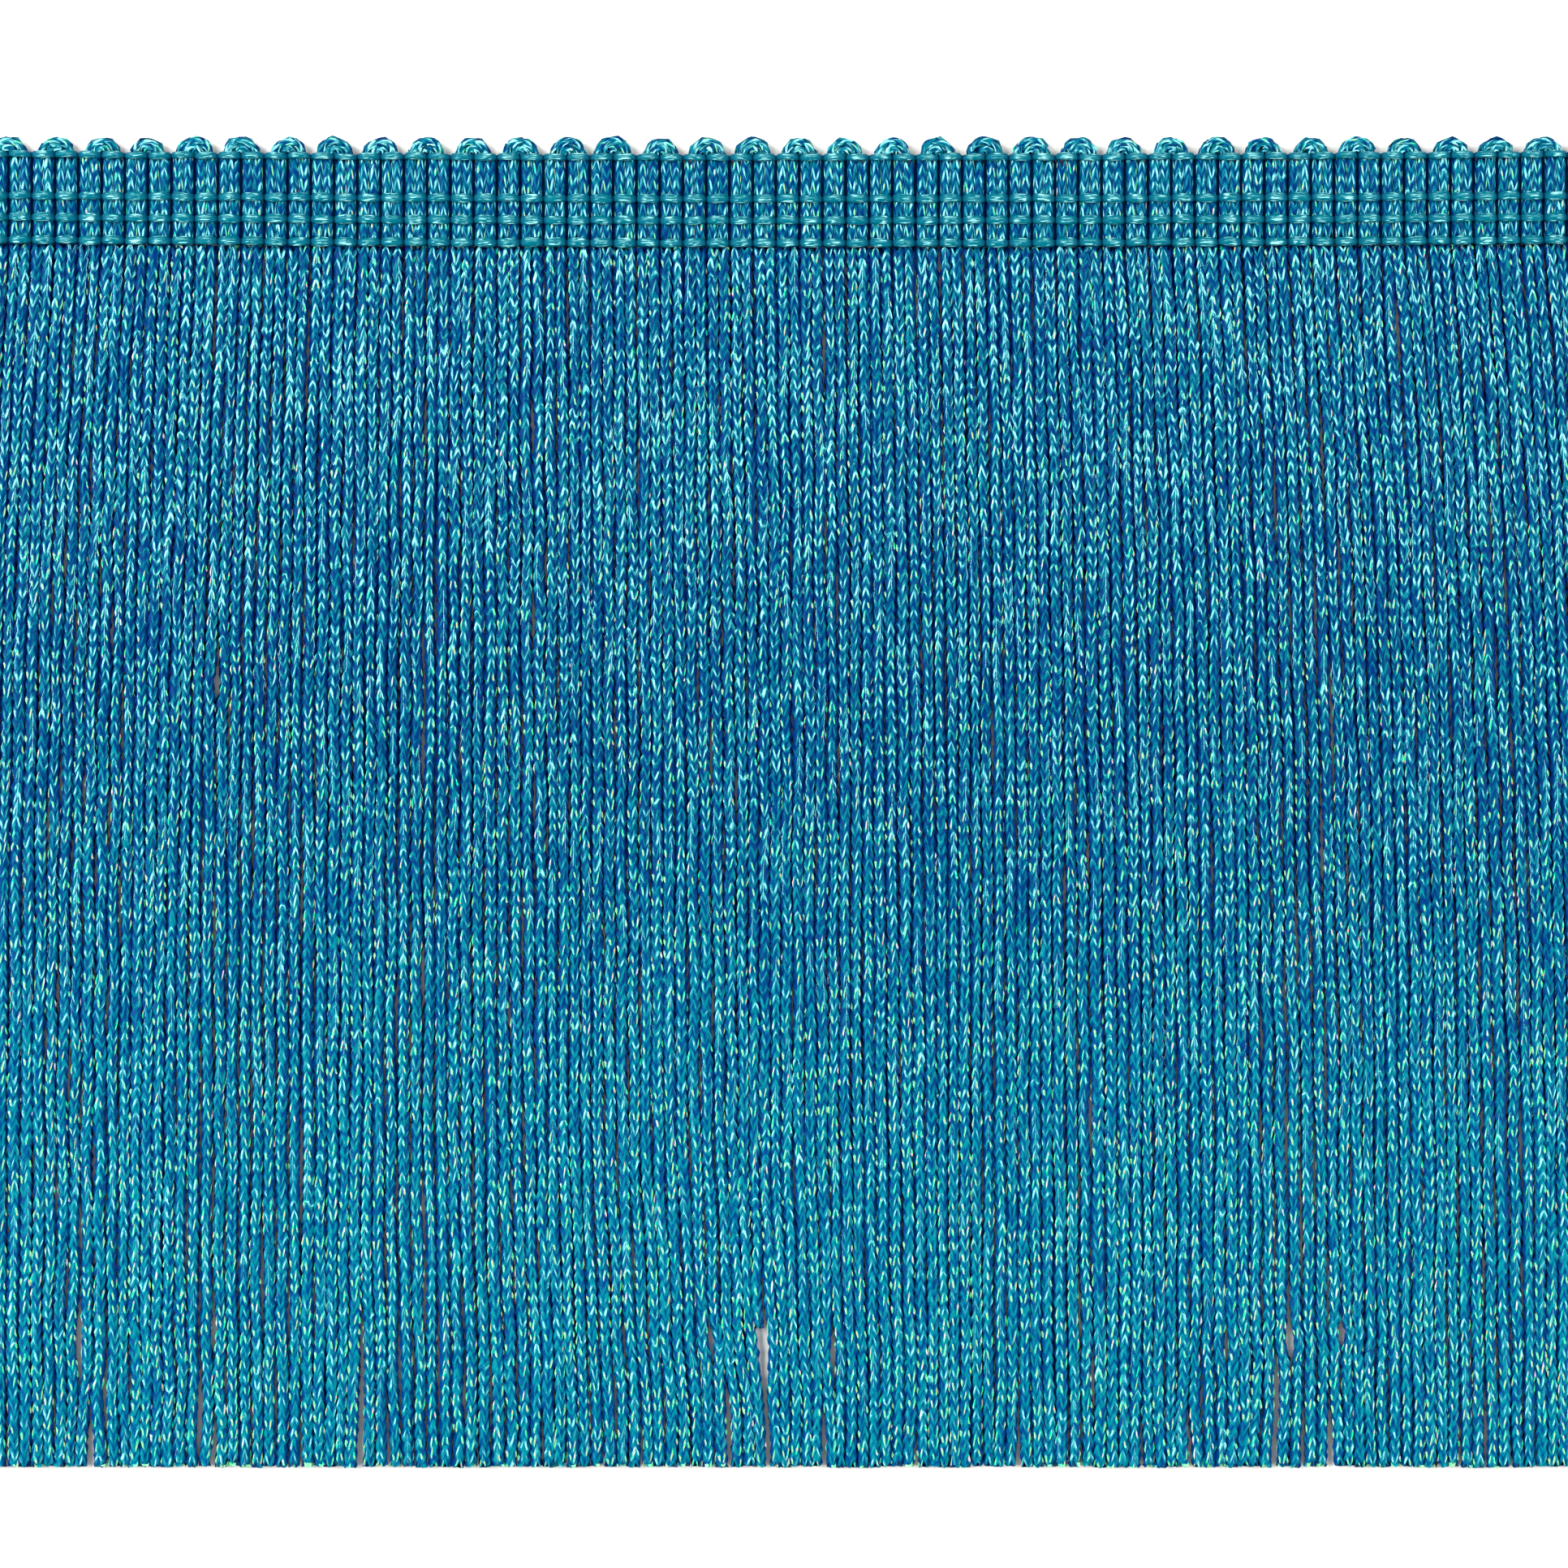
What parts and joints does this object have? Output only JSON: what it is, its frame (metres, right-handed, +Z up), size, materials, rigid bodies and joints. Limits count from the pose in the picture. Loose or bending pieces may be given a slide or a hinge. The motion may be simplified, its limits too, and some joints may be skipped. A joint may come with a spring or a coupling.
{
  "type": "chainette fringe trim",
  "caption": "Fringe trim with a ribbed heading, a picot edge and straight chainette strands, sewn along an edge as decoration.",
  "frame": {"origin": "centre of the underside of the trim as it lies flat", "axes": "+X along the trim, +Y from the cut fringe ends to the picot edge, +Z up through its thickness"},
  "size_m": [0.1933, 0.1524, 0.0023],
  "materials": {
    "chainette": "teal rayon chainette with fine iridescent film flecks",
    "binding_yarn": "smooth lustrous teal yarn"
  },
  "bodies": {
    "root": {"heading": "chainette", "picot_edge": "chainette", "fringe": "chainette", "binding_row_1": "binding_yarn", "binding_row_2": "binding_yarn", "binding_row_3": "binding_yarn", "binding_row_4": "binding_yarn"}
  },
  "joints": []
}
